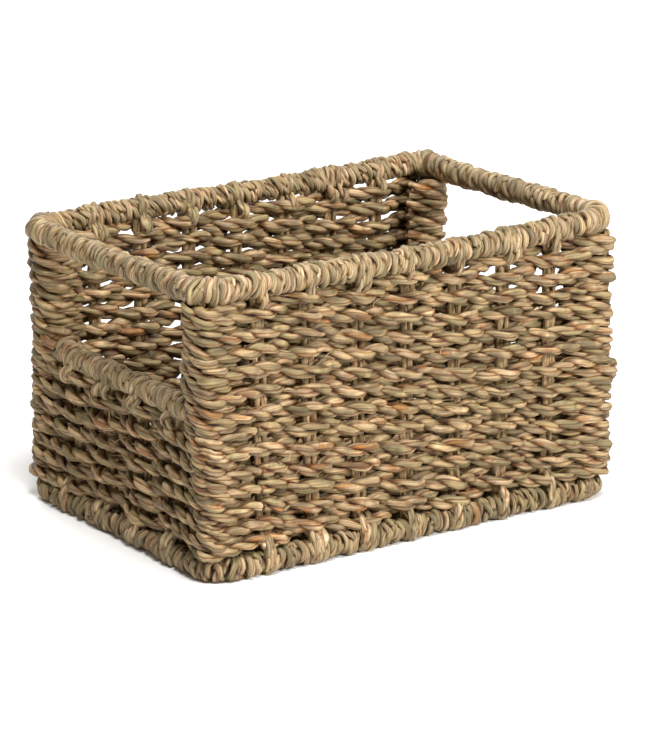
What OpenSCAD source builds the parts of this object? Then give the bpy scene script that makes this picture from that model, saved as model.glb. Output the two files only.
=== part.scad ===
// Rectangular storage basket of woven seagrass on a welded wire frame.
//
// The origin is on the floor, in the middle of the basket. X runs along its
// length, Y across it and Z up. Two wire hoops and four corner posts make the
// frame. Pairs of seagrass stakes stand between the hoops, rows of twisted cord
// weave in front of and behind them, and strands are wound over both hoops and
// over the sill of the handle opening in each end wall.

/* [Basket] */
// Length of both hoops, from wire centre to wire centre
hoop_l = 286; // [240:1:360]
// Width of both hoops, from wire centre to wire centre
hoop_w = 191; // [150:1:240]
// Height of the whole basket, over its wrapped rims
basket_h = 180; // [150:1:240]
// Bend radius of the hoops at their corners, at the wire's centre
corner_r = 12; // [11:0.5:24]

/* [Wire frame] */
// Thickness of the wire of hoops, posts and sills
wire_d = 4; // [3:0.5:5]

/* [Wrapped rims] */
// Thickness of both rims over their wrapping
rim_d = 16; // [13:0.5:20]
// Depth of the flat that the bottom rim has settled to
rest_flat = 0.6; // [0.3:0.1:1.2]

/* [Handle openings] */
// Height of the sill's middle above the floor
sill_z = 98; // [80:1:110]
// Thickness of the sill over its wrapping
sill_d = 15; // [12:0.5:17]

/* [Stakes] */
// Thickness of one stake cord; stakes stand in pairs
stake_d = 4; // [3:0.25:5]
// Gap between the two cords of a pair
pair_gap = 0.6; // [0.2:0.1:2]
// Distance between pairs that the maker aims for
stake_pitch = 35; // [28:1:48]

/* [Weave] */
// Thickness of a row's cord through the wall
weft_t = 5.6; // [4.5:0.1:6.8]
// Height of a row that the maker aims for
row_h = 5.7; // [4.8:0.1:7]
// Height of the base weave above the floor
base_lift = 1; // [0.5:0.5:2]

/* [Clearances] */
// Gap between a row and whatever it passes or meets
weave_gap = 0.2; // [0.1:0.05:0.4]
// Gap between a wire and the strands wound on it
wrap_gap = 0.1; // [0.05:0.05:0.3]

/* [Hidden] */
$fn = 48;

rim_r = rim_d / 2;
sill_r = sill_d / 2;
wire_r = wire_d / 2;
bore_r = wire_r + wrap_gap;

// Middles of the two hoops
bottom_z = rim_r - rest_flat;
top_z = basket_h - rim_r;

// Straight half lengths of a hoop, up to where its corners start to bend
straight_x = hoop_l / 2 - corner_r;
straight_y = hoop_w / 2 - corner_r;

// The posts stand half way round the corner bends, and the walls run between them
post_x = straight_x + corner_r * cos(45);
post_y = straight_y + corner_r * sin(45);

// A row swings this far to either side of its stakes
swing = stake_d / 2 + weave_gap + weft_t / 2;
wall_t = 2 * swing + weft_t;

// Turns of the rows round a post reach to where two inner wall faces would cross
turn_r = wall_t / 2 * sqrt(2);
meet_r = turn_r + weave_gap;

// Half of the length over which a row lies flat against a pair of stakes
pair_w = 2 * stake_d + pair_gap;
flat_w = pair_w / 2 + weave_gap;

// Rows between the rims, and those of them that reach below the sills
weave_z = bottom_z + rim_r;
weave_h = top_z - rim_r - weave_z;
rows = round(weave_h / row_h);
row_pitch = weave_h / rows;
end_rows = floor((sill_z - sill_r - weave_z) / row_pitch);
cord_h = row_pitch - weave_gap;

// Steps from post to post along the two kinds of wall
long_steps = round(2 * post_x / stake_pitch);
end_steps = round(2 * post_y / stake_pitch);

// The base fills the space inside the bottom rim, below the lowest row of a wall
base_t = weave_z - weave_gap - base_lift;
base_weft_t = (base_t - stake_d) / 2 - weave_gap;
base_swing = (base_t - base_weft_t) / 2;
base_z = base_lift + base_t / 2;
base_l = hoop_l - rim_d - 2 * weave_gap;
base_w = hoop_w - rim_d - 2 * weave_gap;
base_corner_r = corner_r - rim_r;
base_rows = round(base_w / row_h);
base_pitch = base_w / base_rows;

// Parts of the turn from one side of the wall to the other, for a row's outline
ease = [0.3, 0.7];

rim_colour = [0.66, 0.58, 0.42];
weave_colour = [0.60, 0.50, 0.33];
stake_colour = [0.44, 0.36, 0.23];
wire_colour = [0.36, 0.35, 0.33];

// ---- helpers -------------------------------------------------------------

// Puts a shape into the corner on side sx of X and side sy of Y
module at_corner(sx, sy) {
    mirror([sx < 0 ? 1 : 0, 0, 0])
        mirror([0, sy < 0 ? 1 : 0, 0])
            children();
}

// A bar of round section along X, centred
module bar_x(length, r) {
    rotate([0, 90, 0])
        cylinder(r = r, h = length, center = true);
}

// A bar of round section along Y, centred
module bar_y(length, r) {
    rotate([90, 0, 0])
        cylinder(r = r, h = length, center = true);
}

// A quarter bend of round section, in the corner towards +X and +Y
module bend(r) {
    translate([straight_x, straight_y, 0])
        rotate_extrude(angle = 90)
            translate([corner_r, 0])
                circle(r = r);
}

// A sleeve of strands along X with room for its wire
module sleeve_x(length, r) {
    difference() {
        bar_x(length, r);
        bar_x(length + 2, bore_r);
    }
}

// A sleeve of strands along Y with room for its wire
module sleeve_y(length, r) {
    difference() {
        bar_y(length, r);
        bar_y(length + 2, bore_r);
    }
}

// A quarter bend of strands with room for its wire
module sleeve_bend(r) {
    translate([straight_x, straight_y, 0])
        rotate_extrude(angle = 90)
            translate([corner_r, 0])
                difference() {
                    circle(r = r);
                    circle(r = bore_r);
                }
}

// Takes off whatever would reach below the floor
module settled() {
    intersection() {
        children();
        translate([0, 0, basket_h / 2])
            cube([2 * hoop_l, 2 * hoop_w, basket_h], center = true);
    }
}

// ---- wire frame ----------------------------------------------------------

module hoop_wire(z) {
    color(wire_colour)
        translate([0, 0, z])
            union() {
                for (s = [-1, 1]) {
                    translate([0, s * hoop_w / 2, 0])
                        bar_x(2 * straight_x, wire_r);
                    translate([s * hoop_l / 2, 0, 0])
                        bar_y(2 * straight_y, wire_r);
                }
                for (sx = [-1, 1], sy = [-1, 1])
                    at_corner(sx, sy)
                        bend(wire_r);
            }
}

module corner_post(sx, sy) {
    post_h = top_z - bottom_z - wire_d;
    color(wire_colour)
        translate([sx * post_x, sy * post_y, bottom_z + wire_r])
            cylinder(r = wire_r, h = post_h);
}

module handle_sill_wire(side) {
    sill_l = 2 * (post_y - wire_r);
    color(wire_colour)
        translate([side * post_x, 0, sill_z])
            bar_y(sill_l, wire_r);
}

// ---- wrapped rims --------------------------------------------------------

module top_rim_wrap(side) {
    color(rim_colour)
        translate([0, side * hoop_w / 2, top_z])
            sleeve_x(2 * straight_x, rim_r);
}

module handle_grip_wrap(side) {
    color(rim_colour)
        translate([side * hoop_l / 2, 0, top_z])
            sleeve_y(2 * straight_y, rim_r);
}

// The corner post comes up into the strands and ends at the hoop's wire
module top_corner_wrap(sx, sy) {
    color(rim_colour)
        at_corner(sx, sy)
            difference() {
                translate([0, 0, top_z])
                    sleeve_bend(rim_r);
                translate([post_x, post_y, top_z - rim_d])
                    cylinder(r = bore_r, h = rim_d);
            }
}

module bottom_rim_wrap_long(side) {
    color(rim_colour)
        settled()
            translate([0, side * hoop_w / 2, bottom_z])
                sleeve_x(2 * straight_x, rim_r);
}

module bottom_rim_wrap_end(side) {
    color(rim_colour)
        settled()
            translate([side * hoop_l / 2, 0, bottom_z])
                sleeve_y(2 * straight_y, rim_r);
}

module bottom_corner_wrap(sx, sy) {
    color(rim_colour)
        at_corner(sx, sy)
            settled()
                difference() {
                    translate([0, 0, bottom_z])
                        sleeve_bend(rim_r);
                    translate([post_x, post_y, bottom_z])
                        cylinder(r = bore_r, h = rim_d);
                }
}

// The sill's wrapping ends against the turns of the rows round the posts
module handle_sill_wrap(side) {
    color(rim_colour)
        translate([side * post_x, 0, sill_z])
            difference() {
                sleeve_y(2 * post_y, sill_r);
                for (s = [-1, 1])
                    translate([0, s * post_y, 0])
                        cylinder(r = meet_r, h = 2 * sill_d, center = true);
            }
}

// ---- stakes --------------------------------------------------------------

// Offsets from a pair's middle to its two cords
function pair() = [-(stake_d + pair_gap) / 2, (stake_d + pair_gap) / 2];

// Places of the pairs along a wall, leaving out the posts at its two ends
function pair_places(half, steps) =
    [for (i = [1 : steps - 1]) half * (2 * i / steps - 1)];

module upright_stakes(half, steps, h) {
    color(stake_colour)
        for (p = pair_places(half, steps), d = pair())
            translate([p + d, 0, weave_z])
                cylinder(r = stake_d / 2, h = h);
}

module long_wall_stakes(side) {
    translate([0, side * post_y, 0])
        upright_stakes(post_x, long_steps, weave_h);
}

module end_wall_stakes(side) {
    translate([side * post_x, 0, 0])
        rotate([0, 0, 90])
            upright_stakes(post_y, end_steps, sill_z - sill_r - weave_z);
}

module base_stakes() {
    color(stake_colour)
        for (p = pair_places(post_x, long_steps), d = pair())
            translate([p + d, 0, base_z])
                bar_y(base_w, stake_d / 2);
}

// ---- woven rows ----------------------------------------------------------

// How far a row is to one side of its stakes, part of the way to the next pair
function eased(t) = cos(180 * t);

// Middle line of a row from one end of a wall to the other; reach is its swing,
// with the sign of the side on which it starts
function row_line(half, steps, reach) = [
    for (i = [0 : steps])
        let (p = half * (2 * i / steps - 1),
             s = reach * (i % 2 == 0 ? 1 : -1),
             turn = 2 * half / steps - 2 * flat_w)
        each concat(
            [[p - flat_w, s], [p + flat_w, s]],
            i == steps ? [] :
                [for (t = ease) [p + flat_w + t * turn, s * eased(t)]])
];

// Outline of a row of thickness t seen along its height
module row_outline(half, steps, reach, t) {
    line = row_line(half, steps, reach);
    last = len(line) - 1;
    polygon(concat(
        [for (q = line) q + [0, t / 2]],
        [for (i = [last : -1 : 0]) line[i] - [0, t / 2]]));
}

// Outline of a row of a wall, which stops at the turns round both posts
module wall_row_outline(half, steps, side) {
    difference() {
        row_outline(half, steps, side * swing, weft_t);
        for (s = [-1, 1])
            translate([s * half, 0])
                circle(r = meet_r);
        for (s = [-1, 1])
            translate([s * (half + meet_r), 0])
                square([2 * meet_r, 2 * wall_t], center = true);
    }
}

module wall_rows(half, steps, count, first) {
    color(weave_colour)
        for (k = [0 : count - 1])
            translate([0, 0, weave_z + k * row_pitch + weave_gap / 2])
                linear_extrude(height = cord_h)
                    wall_row_outline(half, steps, (k + first) % 2 == 0 ? 1 : -1);
}

module long_wall_rows(side) {
    translate([0, side * post_y, 0])
        wall_rows(post_x, long_steps, rows, side > 0 ? 1 : 0);
}

module end_wall_rows(side) {
    translate([side * post_x, 0, 0])
        rotate([0, 0, 90])
            wall_rows(post_y, end_steps, end_rows, side > 0 ? 1 : 0);
}

// Half length of a base row whose outer edge is y from the middle
function base_reach(y) =
    let (over = max(0, y - (base_w / 2 - base_corner_r)))
    base_l / 2 - base_corner_r + sqrt(max(0, pow(base_corner_r, 2) - pow(over, 2)));

module base_row(y, side) {
    reach = base_reach(abs(y) + cord_h / 2);
    translate([0, y, base_z])
        rotate([90, 0, 0])
            linear_extrude(height = base_pitch - weave_gap, center = true)
                intersection() {
                    row_outline(post_x, long_steps, side * base_swing, base_weft_t);
                    square([2 * reach, 2 * base_t], center = true);
                }
}

module base_rows_woven() {
    color(weave_colour)
        for (k = [0 : base_rows - 1])
            base_row((k + 0.5) * base_pitch - base_w / 2, k % 2 == 0 ? 1 : -1);
}

// Each row turns round the corner post; the sill's wire passes between turns
module post_turns(sx, sy) {
    color(weave_colour)
        at_corner(sx, sy)
            difference() {
                for (k = [0 : rows - 1])
                    translate([post_x, post_y, weave_z + k * row_pitch + weave_gap / 2])
                        linear_extrude(height = cord_h)
                            difference() {
                                circle(r = turn_r);
                                circle(r = bore_r);
                            }
                translate([post_x, post_y - turn_r, sill_z])
                    bar_y(2 * turn_r, bore_r);
            }
}

// ---- nodes ---------------------------------------------------------------

hoop_wire(top_z);  // top_hoop_wire
hoop_wire(bottom_z);  // bottom_hoop_wire
corner_post(-1, -1);  // corner_post_front_left
corner_post(1, -1);  // corner_post_front_right
corner_post(-1, 1);  // corner_post_back_left
corner_post(1, 1);  // corner_post_back_right
handle_sill_wire(-1);  // handle_sill_wire_left
handle_sill_wire(1);  // handle_sill_wire_right
top_rim_wrap(-1);  // top_rim_wrap_front
top_rim_wrap(1);  // top_rim_wrap_back
handle_grip_wrap(-1);  // handle_grip_wrap_left
handle_grip_wrap(1);  // handle_grip_wrap_right
top_corner_wrap(-1, -1);  // top_corner_wrap_front_left
top_corner_wrap(1, -1);  // top_corner_wrap_front_right
top_corner_wrap(-1, 1);  // top_corner_wrap_back_left
top_corner_wrap(1, 1);  // top_corner_wrap_back_right
handle_sill_wrap(-1);  // handle_sill_wrap_left
handle_sill_wrap(1);  // handle_sill_wrap_right
bottom_rim_wrap_long(-1);  // bottom_rim_wrap_front
bottom_rim_wrap_long(1);  // bottom_rim_wrap_back
bottom_rim_wrap_end(-1);  // bottom_rim_wrap_left
bottom_rim_wrap_end(1);  // bottom_rim_wrap_right
bottom_corner_wrap(-1, -1);  // bottom_corner_wrap_front_left
bottom_corner_wrap(1, -1);  // bottom_corner_wrap_front_right
bottom_corner_wrap(-1, 1);  // bottom_corner_wrap_back_left
bottom_corner_wrap(1, 1);  // bottom_corner_wrap_back_right
long_wall_stakes(-1);  // front_wall_stakes
long_wall_stakes(1);  // back_wall_stakes
end_wall_stakes(-1);  // left_wall_stakes
end_wall_stakes(1);  // right_wall_stakes
base_stakes();
long_wall_rows(-1);  // front_wall_rows
long_wall_rows(1);  // back_wall_rows
end_wall_rows(-1);  // left_wall_rows
end_wall_rows(1);  // right_wall_rows
base_rows_woven();
post_turns(-1, -1);  // post_turns_front_left
post_turns(1, -1);  // post_turns_front_right
post_turns(-1, 1);  // post_turns_back_left
post_turns(1, 1);  // post_turns_back_right
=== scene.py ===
# %% [markdown]
# # A woven seagrass storage basket
#
# The basket is a cage of steel wire with seagrass on it. Twisted cord is woven in and out
# of upright stakes to fill the walls, and more cord is wound round the wires to make the
# rims, the two grips and the sills under the handle openings. Nothing on it moves, so
# every piece rides on the one body, and the whole lesson is about making rope.
#
# The work goes in this order: measure the frame, make the camera and the lights, make the
# finishes, build the geometry trees (one twists cord, one winds it round a bar, and two
# make loose strands and bare wire), then lay out the paths that the cords follow and send
# them through the trees.

# %% The frame
import math

import bpy
import numpy as np
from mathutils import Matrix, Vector


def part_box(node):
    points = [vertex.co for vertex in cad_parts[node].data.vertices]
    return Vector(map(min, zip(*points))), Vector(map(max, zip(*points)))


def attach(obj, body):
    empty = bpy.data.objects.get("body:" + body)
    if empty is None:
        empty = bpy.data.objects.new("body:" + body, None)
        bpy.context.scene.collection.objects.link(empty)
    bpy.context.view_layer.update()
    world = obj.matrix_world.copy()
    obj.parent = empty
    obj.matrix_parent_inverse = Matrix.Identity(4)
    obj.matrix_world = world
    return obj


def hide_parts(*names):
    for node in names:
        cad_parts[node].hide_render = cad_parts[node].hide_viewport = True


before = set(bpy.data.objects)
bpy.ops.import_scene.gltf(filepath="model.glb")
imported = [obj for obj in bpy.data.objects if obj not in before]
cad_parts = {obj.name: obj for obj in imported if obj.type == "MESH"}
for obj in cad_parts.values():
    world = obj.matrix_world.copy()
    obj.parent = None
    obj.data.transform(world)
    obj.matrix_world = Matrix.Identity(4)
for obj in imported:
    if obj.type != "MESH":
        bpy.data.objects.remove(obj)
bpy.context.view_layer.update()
MM = 0.001
print("nodes in the frame:", len(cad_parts))

# %% [markdown]
# ## Measures
#
# Every place in this file comes from the frame's own nodes. A box gives the lowest and
# highest corner of a node, and that is enough to find the middle and the thickness of each
# rim, the middles of the corner posts, and the height that the woven rows fill.

# %% Measures from the frame


def middle_and_size(node):
    """Middle and size of a node's box, as two arrays."""
    low, high = (np.array(corner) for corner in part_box(node))
    return (low + high) / 2, high - low


top_middle, top_size = middle_and_size("top_rim_wrap_back")
grip_middle, grip_size = middle_and_size("handle_grip_wrap_right")
sill_middle, sill_size = middle_and_size("handle_sill_wrap_right")
hoop_middle, hoop_size = middle_and_size("bottom_hoop_wire")
stake_middle, stake_size = middle_and_size("back_wall_stakes")
post_x, post_y = middle_and_size("corner_post_back_right")[0][:2]

rim_r = top_size[2] / 2
wire_r = hoop_size[2] / 2
sill_r = sill_size[2] / 2
stake_r = stake_size[1] / 2
hoop_x = grip_middle[0]
hoop_y = top_middle[1]
straight_x = top_size[0] / 2
straight_y = grip_size[1] / 2
corner_r = hoop_x - straight_x
top_z = top_middle[2]
sill_z = sill_middle[2]
bottom_z = hoop_middle[2]
weave_low = stake_middle[2] - stake_size[2] / 2
weave_high = stake_middle[2] + stake_size[2] / 2

ROWS = 26  # courses in a long wall
LOW_ROWS = 13  # courses under a handle opening
LONG_STEPS = 8  # steps between posts in a long wall, with a pair of stakes at each joint
END_STEPS = 5  # the same in an end wall
row_pitch = (weave_high - weave_low) / ROWS
print(f"rims {2 * rim_r / MM:.1f} mm thick, rows {row_pitch / MM:.2f} mm apart")

# %% [markdown]
# ## Camera
#
# The basket is seen from the front left and a little above, from far enough away that its
# edges stay nearly parallel. A long lens on a camera a couple of metres off does that.

# %% Camera
CAMERA_PLACE = (-1.2926, -1.8777, 0.7630)
CAMERA_TARGET = (0.0004, -0.0030, 0.0824)
LENS = 190.24
SENSOR = 36.0


def aim(thing, place, target):
    """Puts a camera or a lamp at a place, turned towards a target."""
    thing.location = place
    thing.rotation_euler = (Vector(target) - Vector(place)).to_track_quat("-Z", "Y").to_euler()


camera_data = bpy.data.cameras.new("camera")
camera_data.sensor_width = SENSOR
camera_data.lens = LENS
camera = bpy.data.objects.new("camera", camera_data)
bpy.context.collection.objects.link(camera)
aim(camera, CAMERA_PLACE, CAMERA_TARGET)
bpy.context.scene.camera = camera
print("camera", [round(v, 3) for v in camera.location], "lens", LENS)

# %% [markdown]
# ## Lights, sky and floor
#
# The first lamp, in front and to the right, lights the long wall and leaves the end wall
# in its own shade. A softer one overhead lights the rims and the inside. One behind keeps
# the far walls from going black, and a weak warm one lifts the shade on the left. The
# last is for the floor behind the basket, so that it stays pale. All of them are broad
# squares, because a small lamp would draw hard shadows between the strands.

# %% Lights and sky
WHITE = (1.0, 1.0, 1.0)
DAYLIGHT = (1.0, 0.98, 0.96)
WARM = (1.0, 0.92, 0.8)
BASKET_MIDDLE = (0.0, 0.0, 0.08)
BASKET_HEART = (0.0, 0.0, 0.1)
FLOOR_BEHIND = (1.1, 2.6, 0.0)
SKY_COLOUR = (1.0, 0.91, 0.80, 1.0)
SKY_STRENGTH = 0.18
# Name, place, what it faces, width in metres, power in watts, colour
LAMPS = (
    ("key", (0.7, -1.8, 1.15), BASKET_MIDDLE, 0.5, 47.0, DAYLIGHT),
    ("top", (-0.37, -0.75, 1.87), BASKET_HEART, 0.8, 47.0, WHITE),
    ("back", (0.5, 2.0, 1.2), BASKET_MIDDLE, 0.8, 16.0, WHITE),
    ("left", (-1.9, -0.5, 0.9), BASKET_MIDDLE, 0.8, 0.9, WARM),
    ("floor", (0.9, 2.3, 1.9), FLOOR_BEHIND, 1.6, 60.0, WHITE),
)


def area_light(name, place, target, width, power, colour):
    """A square soft lamp that faces a target."""
    data = bpy.data.lights.new(name, "AREA")
    data.shape = "SQUARE"
    data.size = width
    data.energy = power
    data.color = colour
    lamp = bpy.data.objects.new(name, data)
    bpy.context.collection.objects.link(lamp)
    aim(lamp, place, target)


for lamp in LAMPS:
    area_light(*lamp)
world = bpy.data.worlds.new("sky")
bpy.context.scene.world = world
world.use_nodes = True
sky = world.node_tree.nodes["Background"].inputs
sky["Color"].default_value = SKY_COLOUR
sky["Strength"].default_value = SKY_STRENGTH
bpy.context.scene.view_settings.view_transform = "Standard"
print("lamps:", ", ".join(f"{name} {power} W" for name, _, _, _, power, _ in LAMPS))

# %% Floor
FLOOR_HALF = 6.0
FLOOR_COLOUR = (0.93, 0.93, 0.93, 1.0)
FLOOR_ROUGHNESS = 0.9

floor_mesh = bpy.data.meshes.new("floor")
corners = [(x * FLOOR_HALF, y * FLOOR_HALF, 0.0) for x, y in ((-1, -1), (1, -1), (1, 1), (-1, 1))]
floor_mesh.from_pydata(corners, [], [(0, 1, 2, 3)])
floor_paint = bpy.data.materials.new("floor paint")
floor_paint.use_nodes = True
paint = floor_paint.node_tree.nodes["Principled BSDF"].inputs
paint["Base Color"].default_value = FLOOR_COLOUR
paint["Roughness"].default_value = FLOOR_ROUGHNESS
floor_mesh.materials.append(floor_paint)
floor = bpy.data.objects.new("floor", floor_mesh)
bpy.context.collection.objects.link(floor)
print("floor:", 2 * FLOOR_HALF, "m square")

# %% [markdown]
# ## Helpers for node trees
#
# Geometry trees and material trees are made of the same kind of nodes and links. A few
# small helpers keep the recipes short: one adds a node and fills its inputs, and the
# others do one step of arithmetic with numbers or with vectors.

# %% Node helpers


def add(tree, kind, inputs=None, **settings):
    """Adds a node. An input that is given a socket is linked, any other value is set."""
    node = tree.nodes.new(kind)
    for name, value in settings.items():
        setattr(node, name, value)
    for key, value in (inputs or {}).items():
        if isinstance(key, int):
            socket = node.inputs[key]
        else:
            socket = next(s for s in node.inputs if s.name == key and s.enabled)
        if isinstance(value, bpy.types.NodeSocket):
            tree.links.new(value, socket)
        else:
            socket.default_value = value
    return node


def out(node, name=None):
    """The node's output of that name, or its first one that is in use."""
    return next(s for s in node.outputs if s.enabled and name in (None, s.name))


def calc(tree, operation, *values):
    """One step of arithmetic, as a socket."""
    return out(add(tree, "ShaderNodeMath", dict(enumerate(values)), operation=operation))


def vector_calc(tree, operation, *values):
    """One step of arithmetic with vectors, as a socket."""
    return out(add(tree, "ShaderNodeVectorMath", dict(enumerate(values)), operation=operation))


def scaled(tree, vector, factor):
    """A vector times a number."""
    return out(add(tree, "ShaderNodeVectorMath", {0: vector, "Scale": factor}, operation="SCALE"))


def combined(tree, x, y, z):
    """A vector from three numbers."""
    return out(add(tree, "ShaderNodeCombineXYZ", {"X": x, "Y": y, "Z": z}))


def ranged(tree, value, low, high, first, last):
    """A value stretched from low and high to first and last, and held there."""
    stretch = {"Value": value, "From Min": low, "From Max": high, "To Min": first, "To Max": last}
    return out(add(tree, "ShaderNodeMapRange", stretch))


print("helpers for nodes: add, out, calc, vector_calc, scaled, combined, ranged")

# %% [markdown]
# ## What a strand tells its material
#
# A fibre pattern has to follow each strand wherever it turns, so the trees write five
# attributes on every strand: `along` is the distance from its start, `round` is a point on
# a circle that says which side of the strand this is, `strand` is a number that no other
# strand in the piece has, `crown` is 1 on the back of a blade and 0 in the crease between
# two blades, and `proud` is how far this spot stands out of its cord, from 0 in the valley
# between the plies to 1 on top of a ply. The materials read only these.
#
# Two shader groups turn them into something useful. The first gives coordinates that run
# along the fibres, and a number for each blade of a strand.

# %% Shader group: place on a strand
BLADES = 3
CM_PER_M = 100.0


def new_shader_group(title, inputs, outputs):
    """A shader group with named inputs, each with its default, and named outputs."""
    group = bpy.data.node_groups.new(title, "ShaderNodeTree")
    for name, (kind, default) in inputs.items():
        socket = group.interface.new_socket(name, in_out="INPUT", socket_type="NodeSocket" + kind)
        socket.default_value = default
    for name, kind in outputs.items():
        group.interface.new_socket(name, in_out="OUTPUT", socket_type="NodeSocket" + kind)
    given = group.nodes.new("NodeGroupInput").outputs
    result = group.nodes.new("NodeGroupOutput").inputs
    return group, given, result


def strand_place_group():
    """Turns the strand attributes into coordinates that run along the fibres."""
    inputs = {"Blades": ("Float", float(BLADES))}
    results = {"Fibre": "Vector"}
    results.update({name: "Float" for name in ("Blade", "Strand", "Crown", "Proud")})
    group, given, result = new_shader_group("Place on a strand", inputs, results)

    def read(name, output="Fac"):
        """One of the strand attributes."""
        return add(group, "ShaderNodeAttribute", attribute_name=name).outputs[output]

    strand = read("strand")
    side = add(group, "ShaderNodeSeparateXYZ", {0: read("round", "Vector")}).outputs
    turns = calc(group, "DIVIDE", calc(group, "ARCTAN2", side["Y"], side["X"]), 2 * math.pi)
    whole = calc(group, "FRACT", calc(group, "ADD", turns, 1.0))
    lobe = calc(group, "FLOOR", calc(group, "MULTIPLY", whole, given["Blades"]))
    along = calc(group, "MULTIPLY", read("along"), CM_PER_M)
    found = {
        "Fibre": combined(group, side["X"], side["Y"], along),
        "Blade": calc(group, "MULTIPLY_ADD", strand, given["Blades"], lobe),
        "Strand": strand,
        "Crown": read("crown"),
        "Proud": read("proud"),
    }
    for name, value in found.items():
        group.links.new(value, result[name])
    return group


PLACE = strand_place_group()
print("shader group:", PLACE.name)

# %% [markdown]
# ## Fibres
#
# A blade of dried seagrass has fine ribs along it, soft streaks of light and dark, and
# longer patches and stains where its colour or its tone drifts. All four are the same
# noise, squeezed round the strand and drawn out along it by different amounts. The ribs and
# streaks differ from blade to blade; the patches and stains run across a whole strand.

# %% Shader group: fibres
# Uneven factors, so that no two blades or strands come to the same place in a noise
BLADE_SEED = 3.71
STRAND_SEED = 2.37
# For each noise: waves round the strand, waves in a centimetre along it, shift, detail
STREAK_NOISE = (3.4, 0.55, 11.3, 4.0)
PATCH_NOISE = (0.45, 0.5, 0.0, 2.0)
STAIN_NOISE = (0.6, 0.8, 27.9, 3.0)


def fibre_group():
    """Four noises that follow the strand: Height, Streaks, Patches and Stains."""
    inputs = {
        "Fibre": ("Vector", (0.0, 0.0, 0.0)),
        "Blade": ("Float", 0.0),
        "Strand": ("Float", 0.0),
        "Ribs": ("Float", 9.0),
        "Streak length": ("Float", 0.8),
    }
    results = {"Height": "Float", "Streaks": "Float", "Patches": "Float", "Stains": "Float"}
    group, given, result = new_shader_group("Blade fibres", inputs, results)
    apart = add(group, "ShaderNodeSeparateXYZ", {0: given["Fibre"]}).outputs
    by_blade = calc(group, "MULTIPLY", given["Blade"], BLADE_SEED)
    by_strand = calc(group, "MULTIPLY", given["Strand"], STRAND_SEED)

    def noise(seed, around, along, shift, detail):
        """A noise with so many waves round the strand and along each centimetre."""
        x = calc(group, "MULTIPLY", apart["X"], around)
        y = calc(group, "MULTIPLY", apart["Y"], around)
        z = calc(group, "MULTIPLY", apart["Z"], along)
        place = combined(group, x, y, z)
        chosen = {"Vector": place, "W": calc(group, "ADD", seed, shift), "Scale": 1.0, "Detail": detail}
        return out(add(group, "ShaderNodeTexNoise", chosen, noise_dimensions="4D"))

    found = {
        "Height": noise(by_blade, given["Ribs"], given["Streak length"], 0.0, 3.0),
        "Streaks": noise(by_blade, *STREAK_NOISE),
        "Patches": noise(by_strand, *PATCH_NOISE),
        "Stains": noise(by_strand, *STAIN_NOISE),
    }
    for name, value in found.items():
        group.links.new(value, result[name])
    return group


FIBRES = fibre_group()
print("shader group:", FIBRES.name)

# %% [markdown]
# ## Seagrass finishes
#
# Dried seagrass is never one colour. Most blades are straw, many keep some green, and a few
# have turned orange or brown, and one blade can change over a few centimetres. So each
# blade draws its hue from a ramp by a random number of its own, patches pull it towards
# green or brown along its length, and fine streaks run with the fibres. Each blade also
# has a tone of its own. The valleys between the plies and the creases between the blades
# get painted shade: their colour is made dark and brown where the real cord lies in shadow.
#
# The five finishes differ only in their tint, what they draw from the ramp, how light they
# are and how dark the painted shade in their creases gets.

# %% Seagrass colours and tones
# Hues from green, through straw and the palest, to orange and dark brown
STRAW = [
    (0.00, (0.270, 0.215, 0.085)),
    (0.14, (0.420, 0.350, 0.170)),
    (0.30, (0.490, 0.375, 0.180)),
    (0.46, (0.560, 0.405, 0.195)),
    (0.58, (0.740, 0.565, 0.330)),
    (0.70, (0.580, 0.375, 0.180)),
    (0.82, (0.480, 0.250, 0.095)),
    (0.92, (0.620, 0.280, 0.050)),
    (1.00, (0.220, 0.090, 0.030)),
]
# Painted shade, from the bottom of a valley to the top of a ply
SHADE = [(0.0, (0.10, 0.045, 0.015)), (0.5, (0.58, 0.41, 0.26)), (1.0, (1.0, 1.0, 1.0))]
HUE_START = 0.32
HUE_STEP = 0.26  # how far apart the hues of two blades can be
HUE_WANDER = 0.36  # how far a patch can pull a hue either way
PATCHES = (0.33, 0.67)  # the range that the patches mostly keep to
# For each mask, the range that it mostly keeps to and the tones of its two ends
TONES = {
    "Streaks": (0.36, 0.64, 0.72, 1.28),
    "Height": (0.36, 0.62, 0.68, 1.22),
    "Stains": (0.34, 0.66, 0.60, 1.35),
}
OWN_TONE = (0.0, 1.0, 0.76, 1.24)
# Where the painted shade of the valleys and creases reaches, in the attributes proud and crown
VALLEY = (0.42, 0.82)  # the reach of a valley in the attribute proud
CREASE = 0.5  # the reach of a crease in the attribute crown
ROUGHNESS = (0.42, 0.72)
RELIEF_STRENGTH = 0.65
RELIEF_DEPTH = 0.6 * MM
GLOSS = 0.35


def ramp(tree, value, stops):
    """A colour ramp through the stops, each a place and a colour."""
    node = add(tree, "ShaderNodeValToRGB", {"Fac": value})
    ends = node.color_ramp.elements
    while len(ends) < len(stops):
        ends.new(0.5)
    for end, (place, colour) in zip(ends, stops):
        end.position = place
        end.color = (*colour, 1.0)
    return out(node)


def new_material(name):
    """A material with its node tree and the sockets of its shader."""
    material = bpy.data.materials.new(name)
    material.use_nodes = True
    tree = material.node_tree
    return material, tree, tree.nodes["Principled BSDF"].inputs


print("hues:", len(STRAW), "tones:", ", ".join(TONES))

# %% Seagrass materials


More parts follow.
